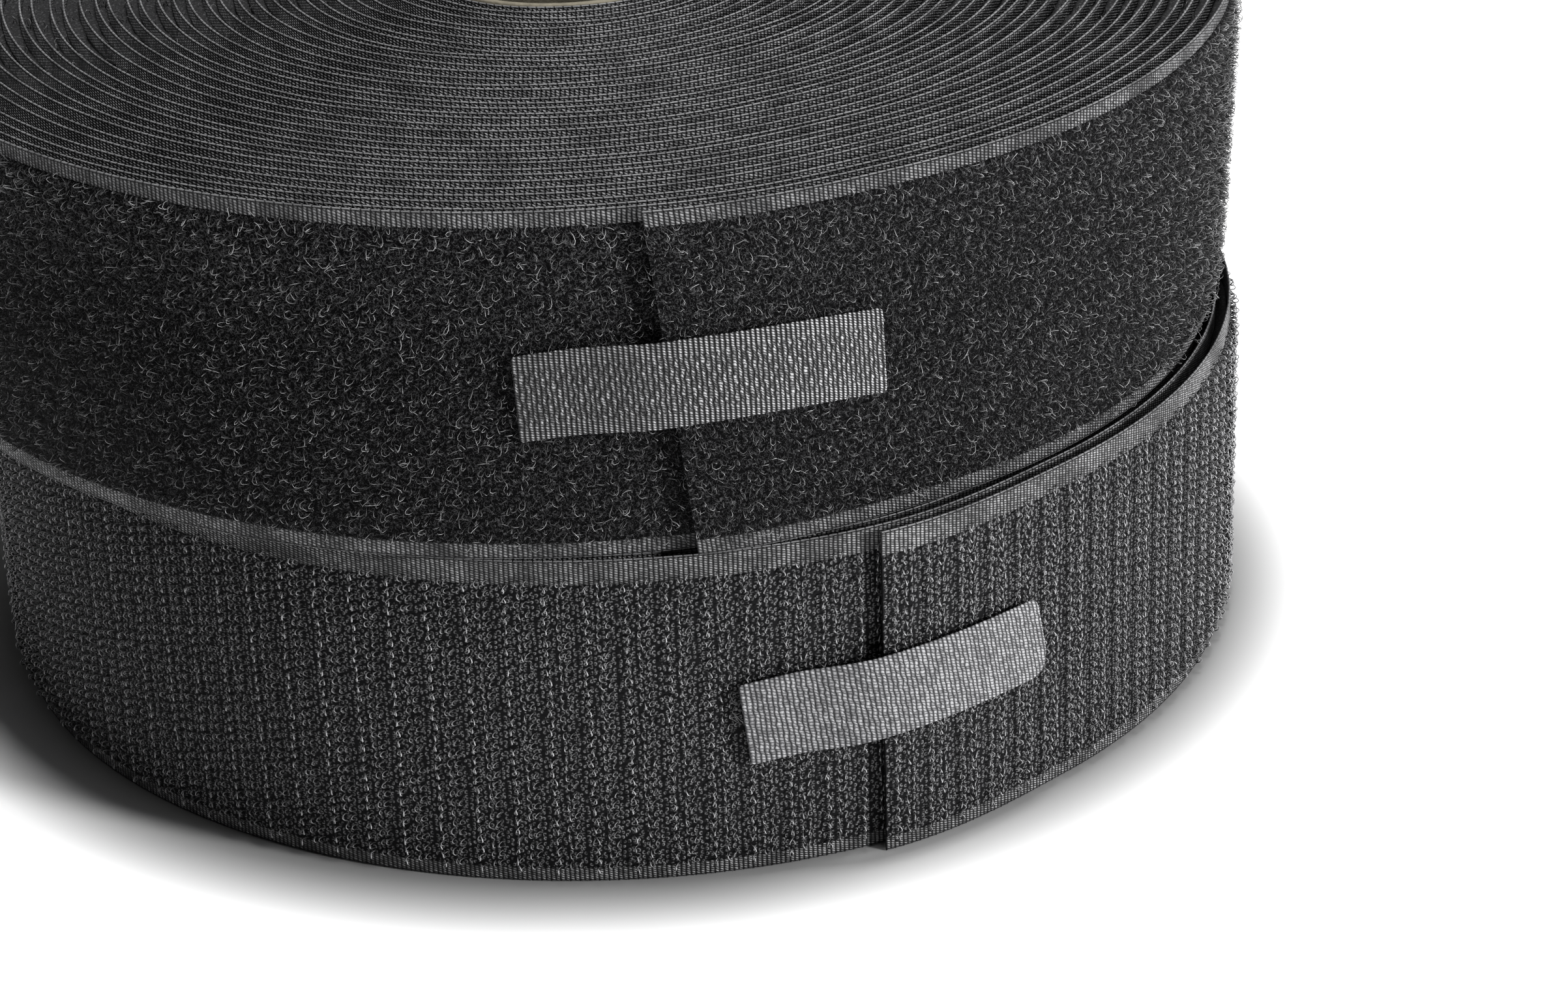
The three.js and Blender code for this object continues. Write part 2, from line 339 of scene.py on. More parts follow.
# %% Numbers that add their nodes
class Number:
    """A float socket that can be reckoned with: every operation adds one Math node to its tree."""

    def __init__(self, tree, socket):
        self.tree = tree
        self.socket = socket

    def then(self, operation, *others):
        """A Math node with this number as its first input."""
        return maths(self.tree, operation, self, *others)

    def __rsub__(self, first):
        return maths(self.tree, "SUBTRACT", first, self)

    def clamped(self):
        """Keeps the result of its own node between 0 and 1."""
        self.socket.node.use_clamp = True
        return self

    def ramp(self, low, high):
        """0 below low, 1 above high and a smooth change between."""
        inputs = {"Value": self, "From Min": low, "From Max": high}
        node = add_node(self.tree, "ShaderNodeMapRange", inputs, interpolation_type="SMOOTHSTEP")
        return Number(self.tree, node.outputs["Result"])

    __add__ = partialmethod(then, "ADD")
    __sub__ = partialmethod(then, "SUBTRACT")
    __mul__ = partialmethod(then, "MULTIPLY")
    __truediv__ = partialmethod(then, "DIVIDE")
    __mod__ = partialmethod(then, "FLOORED_MODULO")
    __pow__ = partialmethod(then, "POWER")
    __abs__ = partialmethod(then, "ABSOLUTE")
    times_plus = partialmethod(then, "MULTIPLY_ADD")
    greater = partialmethod(then, "MAXIMUM")
    floor = partialmethod(then, "FLOOR")
    fract = partialmethod(then, "FRACT")
    root = partialmethod(then, "SQRT")
    sign = partialmethod(then, "SIGN")
    sine = partialmethod(then, "SINE")


# %% Parts of a vector, noise and random cells
def parts_of(tree, vector):
    """The three parts of a vector or of a colour."""
    node = add_node(tree, "ShaderNodeSeparateXYZ", {0: vector})
    return [Number(tree, socket) for socket in node.outputs]


def noise(tree, place, scale, detail, dimensions="2D"):
    """Smooth noise between 0 and 1, mostly near 0.5."""
    inputs = {"Vector": place, "Scale": scale, "Detail": detail}
    node = add_node(tree, "ShaderNodeTexNoise", inputs, noise_dimensions=dimensions)
    return Number(tree, node.outputs[0])


def cell_draw(tree, column, row):
    """White noise: its Value and its Color are drawn afresh for each cell of a grid."""
    cell = add_node(tree, "ShaderNodeCombineXYZ", {0: column, 1: row})
    return add_node(tree, "ShaderNodeTexWhiteNoise", {"Vector": cell.outputs[0]}, noise_dimensions="2D")


# %% Node groups
def new_group(name, outputs, **inputs):
    """A shader group with a Vector and named float inputs, which have these defaults, and float
    outputs. Returns the group, its Vector, its inputs as Numbers and its output node."""
    group = bpy.data.node_groups.new(name, "ShaderNodeTree")
    group.interface.new_socket("Vector", in_out="INPUT", socket_type="NodeSocketVector")
    for title, default in inputs.items():
        socket = group.interface.new_socket(title, in_out="INPUT", socket_type="NodeSocketFloat")
        socket.default_value = default
    for title in outputs:
        group.interface.new_socket(title, in_out="OUTPUT", socket_type="NodeSocketFloat")
    source = group.nodes.new("NodeGroupInput")
    values = {title: Number(group, source.outputs[title]) for title in inputs}
    return group, source.outputs["Vector"], values, group.nodes.new("NodeGroupOutput")


def use_group(tree, group, place, **values):
    """A group in a material, with constants for some of its inputs. Returns its outputs by name."""
    node = add_node(tree, "ShaderNodeGroup", {"Vector": place, **values}, node_tree=group)
    return {socket.name: Number(tree, socket) for socket in node.outputs}


# %% Helpers for materials
def new_material(name, roughness, specular):
    material = bpy.data.materials.new(name)
    material.use_nodes = True
    shader = material.node_tree.nodes["Principled BSDF"]
    shader.inputs["Roughness"].default_value = roughness
    shader.inputs["Specular IOR Level"].default_value = specular
    return material, material.node_tree, shader


def mix_colours(tree, share, dark, light):
    """A colour between dark and light. Each is three numbers or a colour socket."""
    node = add_node(tree, "ShaderNodeMix", {"Factor": share}, data_type="RGBA")
    for key, colour in (("A", dark), ("B", light)):
        socket = [s for s in node.inputs if s.name == key and s.type == "RGBA"][0]
        feed(tree, socket, (*colour, 1.0) if isinstance(colour, tuple) else colour)
    return [s for s in node.outputs if s.type == "RGBA"][0]


def dress(tree, shader, colour, height, relief):
    """Puts a colour and a bump of a height into the shader. relief is the bump's depth in metres."""
    feed(tree, shader.inputs["Base Color"], colour)
    bump = add_node(tree, "ShaderNodeBump", {"Strength": 1.0, "Distance": relief, "Height": height})
    feed(tree, shader.inputs["Normal"], bump.outputs[0])


# %% Coordinates and grain
def on_tape(tree):
    """The tape's own coordinates, U along it and V across it, in millimetres."""
    return add_node(tree, "ShaderNodeUVMap", uv_map="UVMap").outputs[0]


def blotches(tree, place, scale, low, high):
    """Slow noise over the tape's own coordinates, from low to high."""
    return noise(tree, place, scale, 4.0).ramp(0.3, 0.7).times_plus(high - low, low)


def grainy_material(name, shine, grain, contrast, dark, light, relief):
    """Noise in the object's own space, in the colour and in the bump. shine is its roughness and
    specular level, grain its scale and detail, and contrast the part of the noise that shows."""
    material, tree, shader = new_material(name, *shine)
    place = add_node(tree, "ShaderNodeTexCoord").outputs["Object"]
    height = noise(tree, place, *grain, dimensions="3D")
    share = height.ramp(*contrast) if contrast else height
    dress(tree, shader, mix_colours(tree, share, dark, light), height, relief)
    return material


# %% [markdown]
# ## Three groups that draw threads
#
# All the tapes are plain or ribbed weaves of different gauge, so one node group draws a weave. It puts
# out the height of its threads for a bump, and a mask of their crowns, where the light catches them.
# A second group draws matted fibres, and a third the small bright arcs between the feet of the hooks.
# Modelled threads would be truer still, but 26 m of woven tape hold far too many.


# %% Weave group
def weave_group():
    """Ribs stand side by side along U, and each is a stack of short floats along V that is shifted
    against its neighbour and slanted. With u' and v' the places inside one float,
    Height = sin(pi u') ^ 0.7 (0.3 + 0.7 sin(pi v')) and Crown = sin(pi u') ^ Narrow sin(pi v') ^ Short,
    times a brightness that each float draws for itself. Alternate takes as much off a rib, three
    floats long, in turn with its neighbours."""
    group, place, value, sink = new_group(
        "Weave", ("Height", "Crown"), Along=0.65, Across=0.5, Shift=0.5, Slant=0.0, Uneven=0.2,
        Narrow=2.0, Short=1.0, Alternate=0.0)
    x, y, _ = parts_of(group, place)
    drift = (noise(group, place, 0.9, 3.0) - 0.5) * value["Uneven"]
    u = x / value["Along"] + drift
    rib, in_rib = u.floor(), u.fract()
    v = y / value["Across"] + (rib * value["Shift"] + in_rib * value["Slant"]) + drift
    cell = v.floor()
    across_rib = (in_rib * math.pi).sine()
    along_rib = (v.fract() * math.pi).sine()
    feed(group, sink.inputs["Height"], across_rib ** 0.7 * along_rib.times_plus(0.7, 0.3))
    odd = (rib + (cell / 3.0).floor()) % 2.0 * value["Alternate"]
    drawn = Number(group, cell_draw(group, rib, cell).outputs["Value"])
    own = drawn.times_plus(0.9, 0.5) * (1.0 - odd)
    peak = across_rib ** value["Narrow"] * along_rib ** value["Short"]
    feed(group, sink.inputs["Crown"], peak * own)
    return group


WEAVE = weave_group()
print("weave group:", len(WEAVE.nodes), "nodes")


# %% Tangle group
TANGLE_LAYERS = 3


def tangle_group():
    """Thin strokes that bend at random. Each layer draws a contour of a noise n as
    1 - |n - 0.5| / Width, and breaks it up where a second noise is low. Lines is the greatest."""
    group, place, value, sink = new_group("Tangle", ("Lines",), Scale=1.0, Width=0.08)
    lines = 0.0
    for k in range(TANGLE_LAYERS):
        noises = []
        for offset, scale in ((7.0 * k, 1.0 + 0.35 * k), (50.0 + 9.0 * k, 1.3)):
            shift = add_node(group, "ShaderNodeVectorMath", {0: place, 1: (offset, 2 * offset, 0.0)},
                             operation="ADD")
            noises.append(noise(group, shift.outputs[0], value["Scale"] * scale, 1.0))
        stroke = (1.0 - abs(noises[0] - 0.5) / value["Width"]).clamped()
        stroke = stroke * noises[1].ramp(0.42, 0.58) * (1.0 - 0.25 * k)
        lines = stroke.greater(lines)
    feed(group, sink.inputs["Lines"], lines)
    return group


TANGLE = tangle_group()
print("tangle group:", len(TANGLE.nodes), "nodes")


# %% Stitch group
STITCH_PLAY = (0.5, 0.6)


def stitch_group():
    """Small arcs in columns. In a cell of Column by Row, with its centre moved at random, Lines =
    (1 - |d - r| / Width) on one side of the centre, where d is the distance from it and r is Reach
    times a random part. The side faces left and right in turn, but for one in three, which are
    turned round, and a random way up or down."""
    group, place, value, sink = new_group(
        "Stitch", ("Lines",), Column=0.655, Row=0.78, Reach=0.26, Width=0.1)
    x, y, _ = parts_of(group, place)
    u = x / value["Column"]
    column = u.floor()
    v = column.times_plus(0.5, y / value["Row"])
    first, second, third = parts_of(group, cell_draw(group, column, v.floor()).outputs["Color"])
    from_u = (u.fract() - 0.5 + (first - 0.5) * STITCH_PLAY[0]) * value["Column"]
    from_v = (v.fract() - 0.5 + (second - 0.5) * STITCH_PLAY[1]) * value["Row"]
    distance = (from_u * from_u + from_v * from_v).root()
    reach = value["Reach"] * second.times_plus(0.5, 0.7)
    arc = (1.0 - abs(distance - reach) / value["Width"]).clamped()
    facing = (column % 2.0).times_plus(-2.0, 1.0) * (second - 0.35).sign()
    tilted = from_v * first.times_plus(1.4, -0.7)
    side = from_u.times_plus(facing, tilted).ramp(-0.2, 0.06)
    feed(group, sink.inputs["Lines"], arc * side * third.times_plus(0.7, 0.35))
    return group


STITCH = stitch_group()
print("stitch group:", len(STITCH.nodes), "nodes")

# %% [markdown]
# ## Woven tape
#
# The ground is a tight charcoal weave. Its two edges are finished with a beaded line of weft loops,
# which is the thin bright line round every turn in the photograph. In the shader the edge line is a
# mask on V, with beads one rib apart along U. Between the two selvedges the ground lies in the shade
# of the loops or hooks that stand on it, so there it is almost black.


# %% Tape finish
EDGE_LINE, EDGE_GROOVE, BEAD = 0.15, 0.34, 0.42
WEAVE_RELIEF = 0.00022
IN_SHADE = (0.003, 0.003, 0.0033)


def from_edges(v, width):
    """Distance from the nearer of the two edges of a tape: w/2 - |v - w/2|."""
    return width / 2 - abs(v - width / 2)


def tape_material(name, roll, along, across, dark, light, edge):
    """along and across are the weave's gauge, dark and light its ground and its crowns."""
    material, tree, shader = new_material(name, 0.55, 0.15)
    place = on_tape(tree)
    weave = use_group(tree, WEAVE, place, Along=along, Across=across, Shift=0.5, Slant=0.5,
                      Uneven=0.25, Narrow=1.7, Short=1.0)
    u, v, _ = parts_of(tree, place)
    near = from_edges(v, roll.width)
    bead = 1.0 - abs((u * (1 / (2 * along))).fract() - 0.5).ramp(BEAD - 0.04, BEAD + 0.05)
    line = (1.0 - near.ramp(EDGE_LINE - 0.04, EDGE_LINE + 0.05)) * bead.times_plus(0.8, 0.2)
    # Painted shade: the crowns fade out just inside the edge line, so a dark groove runs along each
    # edge.
    groove_shade = near.ramp(EDGE_GROOVE - 0.1, EDGE_GROOVE + 0.08)
    patch = blotches(tree, place, 0.12, 0.5, 1.15)
    colour = mix_colours(tree, weave["Crown"] * groove_shade * patch, dark, light)
    colour = mix_colours(tree, line * patch, colour, edge)
    low, high = roll.field
    shaded = v.ramp(low - 0.3, low + 0.4) * (1.0 - v.ramp(high - 0.4, high + 0.3))
    colour = mix_colours(tree, shaded, colour, IN_SHADE)
    dress(tree, shader, colour, weave["Height"].greater(line), WEAVE_RELIEF)
    return material


LOOP_TAPE = tape_material("loop_tape_weave", loop_roll, 0.65, 0.42,
                          (0.004, 0.004, 0.0045), (0.25, 0.25, 0.255), (0.15, 0.15, 0.153))
HOOK_TAPE = tape_material("hook_tape_weave", hook_roll, 0.655, 0.36,
                          (0.01, 0.01, 0.0105), (0.33, 0.33, 0.335), (0.2, 0.2, 0.205))


# %% Tape section
EDGE_BENDS = 2


def tape_section(thickness, low, high):
    """Closed outline of a tape, counter-clockwise as (out, up): flat faces with half-round edges."""
    r = thickness / 2
    turn = np.linspace(-math.pi, 0, EDGE_BENDS + 2)
    lower = stacked(-r + r * np.cos(turn), low + r + r * np.sin(turn))
    upper = stacked(-r + r * np.cos(turn + math.pi), high - r + r * np.sin(turn + math.pi))
    return np.concatenate([lower, upper])


# %% Ribbons
EDGE_ROOM, EDGE_DRIFT = 0.05, 0.55


def edge_lift(roll, travel):
    """How far a turn stands above the lowest: inner turns are wound a little high or low."""
    drift = wander(travel, seed=21, slowest=0.9 * FULL_TURN, count=8)
    share = np.clip(0.5 + 0.5 * drift, 0, 1)
    return EDGE_DRIFT * share * inner_turns(roll, travel)


def ribbon(name, roll, start, stop, step, material):
    """A tape from one travel to another. Its two edges rise and fall together from turn to turn."""
    distance, travel = stations(roll, start, stop, step)
    out, up = tape_section(GROUND, EDGE_ROOM, roll.width - EDGE_ROOM).T[:, None]
    is_top = up > roll.width / 2
    lift = edge_lift(roll, travel)
    lifted = up + np.where(is_top, lift - EDGE_DRIFT * inner_turns(roll, travel), lift)
    points = on_roll(roll, travel, out, lifted, cut_lean(roll, travel))
    uv = stacked(distance, up + np.where(is_top, EDGE_ROOM, -EDGE_ROOM))
    piece = carried_piece(name, points, material, uv)
    return piece


# %% [markdown]
# ## Mats
#
# Between the curls one sees a bed of matted fibres, and between the hooks the stitches that hold them.
# Both could be more strands, but each strand costs triangles, so a thin mat lies on the ground between
# the selvedges and wears the tangle or the stitches in its shader.


# %% Finish of the mats
def line_material(name, dark, light, lines_group, relief, **values):
    """Threads on a dark ground: the lines of a group in the light colour, and raised by relief."""
    material, tree, shader = new_material(name, 0.8, 0.05)
    lines = use_group(tree, lines_group, on_tape(tree), **values)["Lines"]
    dress(tree, shader, mix_colours(tree, lines, dark, light), lines, relief)
    return material


LOOP_MAT = line_material("matted_loops", (0.0015, 0.0015, 0.0017), (0.09, 0.09, 0.093),
                         TANGLE, 0.0004, Scale=1.2, Width=0.07)
HOOK_MAT = line_material("stitched_ground", (0.007, 0.007, 0.0075), (0.25, 0.25, 0.255),
                         STITCH, 0.0002, Reach=0.22, Width=0.16)


# %% Shape of a mat
MAT_STEP, MAT_BEVEL, MAT_FOOT = 2.0, 0.4, 0.02


def field_mat(name, roll, start, stop, depth, material):
    """A thin mat on the ground between the selvedges, with bevelled edges."""
    distance, travel = stations(roll, start, stop, MAT_STEP)
    low, high = roll.field
    out = np.array([[MAT_FOOT, depth, depth, MAT_FOOT]])
    up = np.array([[low, low + MAT_BEVEL, high - MAT_BEVEL, high]])
    points = on_roll(roll, travel, out, up, cut_lean(roll, travel))
    return carried_piece(name, points, material, stacked(distance, up))


# %% [markdown]
# ## Camera, floor and light
#
# The camera was fitted to the edges of both rolls. The floor is a sheet of white paper. A wide soft
# box above keeps it white, a smaller key from the front right puts glints on the fibres, and the
# world is dim and a little brighter on the right, which leaves the left of both rolls dark. The
# photograph's soft halo of shadow is deeper than the lamps alone give, so the paper itself darkens
# towards the roll's foot. It does so by the distance from the roll, so it holds in every view.

# %% Camera
CAMERA_FROM_HOOK_AXIS = (1.78, -582.42, 298.22)
CAMERA_YAW, CAMERA_PITCH, CAMERA_ROLL = 0.04084, 0.45611, -0.0288
PHOTO_WIDTH, FOCAL_PIXELS, SENSOR = 2405, 6294.5, 36.0


def add_camera():
    """Looks along yaw (from +Y towards +X) and down by pitch, then turns about that line by roll."""
    level_ahead = math.cos(CAMERA_PITCH)
    ahead = Vector((math.sin(CAMERA_YAW) * level_ahead, math.cos(CAMERA_YAW) * level_ahead,
                    -math.sin(CAMERA_PITCH)))
    level = Vector((math.cos(CAMERA_YAW), -math.sin(CAMERA_YAW), 0.0))
    above = level.cross(ahead)
    right = math.cos(CAMERA_ROLL) * level + math.sin(CAMERA_ROLL) * above
    up = right.cross(ahead)
    camera = bpy.data.objects.new("camera", bpy.data.cameras.new("camera"))
    turn = Matrix((right, up, -ahead)).transposed().to_4x4()
    place = Vector((*hook_roll.axis, 0.0)) + Vector(CAMERA_FROM_HOOK_AXIS)
    camera.matrix_world = Matrix.Translation(place * MM) @ turn
    camera.data.sensor_width = SENSOR
    camera.data.lens = FOCAL_PIXELS / PHOTO_WIDTH * SENSOR
    camera.data.clip_start, camera.data.clip_end = 0.01, 20.0
    bpy.context.scene.collection.objects.link(camera)
    bpy.context.scene.camera = camera
    print(f"camera: {camera.data.lens:.1f} mm lens")


add_camera()

# %% Floor
FLOOR_SIZE = 6.0
PAPER_WHITE = 0.9
HALO, HALO_DARK = 0.017, 0.3


def add_floor():
    """White paper that darkens towards the roll's foot, in proportion to the distance over HALO."""
    corners = [(x * FLOOR_SIZE, y * FLOOR_SIZE, 0) for x, y in ((-1, -1), (1, -1), (1, 1), (-1, 1))]
    mesh = bpy.data.meshes.new("floor")
    mesh.from_pydata(corners, [], [(0, 1, 2, 3)])
    floor = bpy.data.objects.new("floor", mesh)
    bpy.context.scene.collection.objects.link(floor)
    material, tree, shader = new_material("paper_floor", 0.9, 0.2)
    place = add_node(tree, "ShaderNodeTexCoord").outputs["Object"]
    centre = (*(hook_roll.axis * MM), 0.0)
    away = add_node(tree, "ShaderNodeVectorMath", {0: place, 1: centre}, operation="DISTANCE")
    from_foot = Number(tree, away.outputs["Value"]) - hook_roll.radius * MM
    colour = mix_colours(tree, (from_foot / HALO).clamped(), (HALO_DARK,) * 3, (PAPER_WHITE,) * 3)
    feed(tree, shader.inputs["Base Color"], colour)
    mesh.materials.append(material)


add_floor()

# %% Light
MIDDLE = (0.0, 0.0, 0.05)
LAMPS = (
    ("overhead", (0.02, 0.06, 1.7), 0.45, 38.0),
    ("key", (1.22, -0.75, 0.4), 0.25, 27.0),
    ("side", (1.2, 0.2, 0.35), 0.3, 2.0),
)
WORLD_LEFT, WORLD_RIGHT = 0.04, 0.42


def add_disk_light(name, place, size, power):
    light = bpy.data.objects.new(name, bpy.data.lights.new(name, "AREA"))
    light.data.shape = "DISK"
    light.data.size = size
    light.data.energy = power
    light.location = place
    light.rotation_mode = "QUATERNION"
    light.rotation_quaternion = (Vector(place) - Vector(MIDDLE)).to_track_quat("Z", "Y")
    bpy.context.scene.collection.objects.link(light)


def add_world():
    """A dim world that grows brighter towards +X."""
    world = bpy.data.worlds.new("studio")
    world.use_nodes = True
    tree = world.node_tree
    x, _, _ = parts_of(tree, add_node(tree, "ShaderNodeTexCoord").outputs["Generated"])
    back = tree.nodes["Background"]
    back.inputs["Color"].default_value = (1.0, 1.0, 1.0, 1)
    level = x.ramp(-0.3, 0.9).times_plus(WORLD_RIGHT - WORLD_LEFT, WORLD_LEFT)
    feed(tree, back.inputs["Strength"], level)
    bpy.context.scene.world = world


for lamp in LAMPS:
    add_disk_light(*lamp)
add_world()
bpy.context.scene.view_settings.view_transform = "Standard"
print(len(LAMPS), "lamps and a world")

# %% [markdown]
# ## Winding the tapes
#
# Each tape is two ribbons: all the turns from the core out, and the free tail that can lift off. A
# curve with a flat bevel could wind a tape too, but here each station also carries the swellings and
# its place along the tape.

# %% Wound tapes and tails
TAPE_STEP, TAIL_STEP = 3.0, 1.0


def follow_tail(piece):
    """Bakes the piece's transform into its mesh."""
    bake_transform(piece)


def wind(roll, tape):
    """A roll's tape in two ribbons, the turns and the tail."""
    name = roll.name
    turns = ribbon(f"{name}_tape_turns", roll, roll.tail, roll.end, TAPE_STEP, tape)
    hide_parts(f"{name}_tape_wound", f"{name}_tape_outer_turn")
    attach(turns, f"{name}_roll")
    tail = ribbon(f"{name}_tape_free_end", roll, 0.0, roll.tail, TAIL_STEP, tape)
    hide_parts(f"{name}_tape_tail")
    follow_tail(tail)


wind(loop_roll, LOOP_TAPE)
wind(hook_roll, HOOK_TAPE)


# %% Mats on both tapes
def lay_mats(roll, mat, depth):
    """The mats on the outer turn and on the tail."""
    bed = field_mat(f"{roll.name}_mat", roll, roll.tail, roll.tail + FULL_TURN, depth, mat)
    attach(bed, f"{roll.name}_roll")
    follow_tail(field_mat(f"{roll.name}_mat_free_end", roll, 0.0, roll.tail, depth, mat))


lay_mats(loop_roll, LOOP_MAT, depth=0.45)
lay_mats(hook_roll, HOOK_MAT, depth=0.2)

# %% [markdown]
# ## Closure strips
#
# A short strip of the mating tape holds each cut end down. The strips are numbers first, because the
# pile and the hooks below them have to lie flatter than the rest. Both were cut by hand, so their
# ends are a little askew.

# %% Strip sizes
LOOP_STRIP = SimpleNamespace(
    roll=loop_roll, width=12.3, start=-20.0, length=49.4, low=17.9, rise=1.15, bow=1.5,
    skew=(0.6, 0.5), low_corners=(0.3, 0.3), high_corners=(0.3, 0.3), foot=1.1, thickness=0.5)
HOOK_STRIP = SimpleNamespace(
    roll=hook_roll, width=12.5, start=-19.6, length=45.9, low=17.7, rise=2.1, bow=0.8,
    skew=(1.4, 2.6), low_corners=(0.4, 3.5), high_corners=(0.4, 0.8), foot=1.5, thickness=0.5)
STEP_START, STEP_LENGTH = 1.0, 13.0


def strip_low(strip, s):
    """Height of the strip's lower edge at a distance s from the cut end of the tape: a straight rise
    plus a bow of 4 b p (1 - p), where p is the part of the length."""
    part = np.clip((s - strip.start) / strip.length, 0, 1)
    return strip.low + strip.rise * part + 4 * strip.bow * part * (1 - part)


def strip_foot(strip, s):
    """How far the strip's inner face lies out from the tape's spiral: past the cut end, where s is
    negative, it comes down by one pitch to the next turn."""
    return strip.foot - PITCH * smooth_step((-s - STEP_START) / STEP_LENGTH)


# %% What lies below a strip
STRIP_ROOM = 0.2


def below_strip(strip, travel, z):
    """True where a place on the outer turn or the tail lies below the strip."""
    s = distance_at(strip.roll, np.where(travel > math.pi, travel - FULL_TURN, travel))
    stop = strip.start + strip.length
    inside = (s > strip.start - STRIP_ROOM) & (s < stop + STRIP_ROOM)
    low = strip_low(strip, s)
    return inside & (z > low - STRIP_ROOM) & (z < low + strip.width + STRIP_ROOM)


# %% [markdown]
# ## Loop pile
#
# The face of the loop tape is thousands of fine filament loops that a napping machine has pulled
# into curls. Blender's hair could stand for them, but a model to be exported needs meshes. Each one
# is a strand that leaves the ground, winds round part of a turn at the top and comes back down.
# The strands stand on a jittered grid, so that the pile is even but never in rows. Each point of a
# strand has a shade, which is darker near the root, where less light comes.


# %% Fibre finish
def fibre_material(name, dark, light, roughness, specular):
    """Between dark and light by each point's shade."""
    material, tree, shader = new_material(name, roughness, specular)
    shade = add_node(tree, "ShaderNodeAttribute", attribute_name="shade").outputs["Fac"]
    feed(tree, shader.inputs["Base Color"], mix_colours(tree, shade, dark, light))
    return material


PILE = fibre_material("loop_pile_fibre", (0.0015, 0.0015, 0.0017), (0.345, 0.345, 0.35), 0.45, 0.2)
HOOKS = fibre_material("hook_filament", (0.002, 0.002, 0.0023), (0.47, 0.47, 0.48), 0.28, 0.3)

# %% Curls
CURL_RADIUS, CURL_SWEEP, CURL_SHIFT = (0.2, 0.6), (2.4, 4.8), (0.0, 1.4)
PAINTED_GLINT_PART, PAINTED_GLINT_CURL, DULL_CURLS = 0.15, 0.85, (0.1, 0.6)
SHADE_FROM, SHADE_RISE = 0.3, 1.1
JITTER = 0.6
SUNK = -0.05


def jittered(draw, first, last, low, high, density):
    """Places on a jittered grid that fills its patch, as distances along the tape and heights."""
    cell = 1 / math.sqrt(density)
    columns, rows = max(round((last - first) / cell), 1), max(round((high - low) / cell), 1)
    s, z = np.meshgrid(np.arange(columns) + 0.5, np.arange(rows) + 0.5)
    s = s.ravel() + draw.uniform(-JITTER, JITTER, s.size)
    z = z.ravel() + draw.uniform(-JITTER, JITTER, z.size)
    return first + s * (last - first) / columns, low + z * (high - low) / rows


def curls(draw, root, directions, height, points):
    """Curls on their roots. Each rises to its height as a half sine, while it winds round a circle
    that lies in the tape's surface: root + out h sin(pi t) ^ 0.7 + r (along cos + up sin)(a + w t)."""
    out, along, up = directions
    n = len(root)
    t = np.linspace(0, 1, points)[None, :]
    wide = draw.uniform(*CURL_RADIUS, (n, 1))
    begin = draw.uniform(0, FULL_TURN, (n, 1))
    sweep = draw.choice([-1, 1], (n, 1)) * draw.uniform(*CURL_SWEEP, (n, 1))
    shift = draw.uniform(*CURL_SHIFT, (n, 1))
    heading = draw.uniform(0, FULL_TURN, (n, 1))
    rise = height[:, None] * np.sin(math.pi * np.clip(t * 0.96 + 0.04, 0, 1)) ** 0.7
    phase = begin + sweep * t
    a = wide * (np.cos(phase) - np.cos(begin)) + shift * np.cos(heading) * t
    b = wide * (np.sin(phase) - np.sin(begin)) + shift * np.sin(heading) * t
    paths = (root[:, None] + out[:, None] * rise[..., None] + along[:, None] * a[..., None]
             + up[:, None] * b[..., None])
    # A random part of the curls is painted bright, as painted glints; the others differ in tone at
    # random.
    has_painted_glint = draw.uniform(0, 1, (n, 1)) < PAINTED_GLINT_PART
    own = np.where(has_painted_glint, PAINTED_GLINT_CURL, draw.uniform(*DULL_CURLS, (n, 1)))
    return paths, own * np.clip((rise - SHADE_FROM) / SHADE_RISE, 0.02, 1)


def finish_fibres(name, paths, radius, shade, material):
    """One piece of many strands. shade is one number for each point of each path."""
    points, faces = tubes(paths, radius)
    return make_piece(name, points, faces, material, shade=np.repeat(shade.ravel(), 3))


# %% Pile on the outer turn and the tail
PILE_DENSITY, PILE_RADIUS, PILE_POINTS = 1.0, 0.05, 6
PILE_HEIGHT, UNDER_TAIL = (0.9, 1.9), 1.5
TAIL_SEED = 30


def pile(name, roll, start, stop, seed):
    """The curls between two travels. They lie flatter below the tail and below the strip."""
    draw = np.random.default_rng(seed)
    s, z = jittered(draw, distance_at(roll, start), distance_at(roll, stop), *roll.field, PILE_DENSITY)
    travel = travel_at(roll, s)
    root = on_roll(roll, travel, SUNK, z, cut_lean(roll, travel))
    height = draw.uniform(*PILE_HEIGHT, len(s))
    height = np.where(travel > FULL_TURN, np.minimum(height, UNDER_TAIL), height)
    height = np.where(below_strip(LOOP_STRIP, travel, z), np.minimum(height, LOOP_STRIP.foot), height)
    paths, shade = curls(draw, root, local_directions(roll, travel), height, PILE_POINTS)
    return finish_fibres(name, paths, PILE_RADIUS, shade, PILE)


def cover_tape(plant, roll, title, node, patches, seed):
    """Plants the outer turn in patches and the tail in one. title begins the names of the pieces,
    and node the names of the two nodes that they replace."""
    edges = np.linspace(roll.tail, FULL_TURN + roll.tail, patches + 1)
    for i in range(patches):
        patch = plant(f"{title}_{i + 1}", roll, edges[i], edges[i + 1], seed + i)
        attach(patch, f"{roll.name}_roll")
        if i == 0:
            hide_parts(f"{node}_outer_turn")
    free_end = plant(f"{title}_free_end", roll, 0.0, roll.tail, seed + TAIL_SEED)
    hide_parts(f"{node}_tail")
    follow_tail(free_end)


cover_tape(pile, loop_roll, "loop_pile", "loop_pile", patches=9, seed=100)

# %% [markdown]
# ## Between the turns
#
# From the side one looks down into the gaps between the turns, where the pile of each turn presses
# on the back of the next. To plant each of 36 turns would cost a million strands that nobody sees. So
# a dark band fills each gap up to the selvedge, and curls stick out of it where the eye can reach.


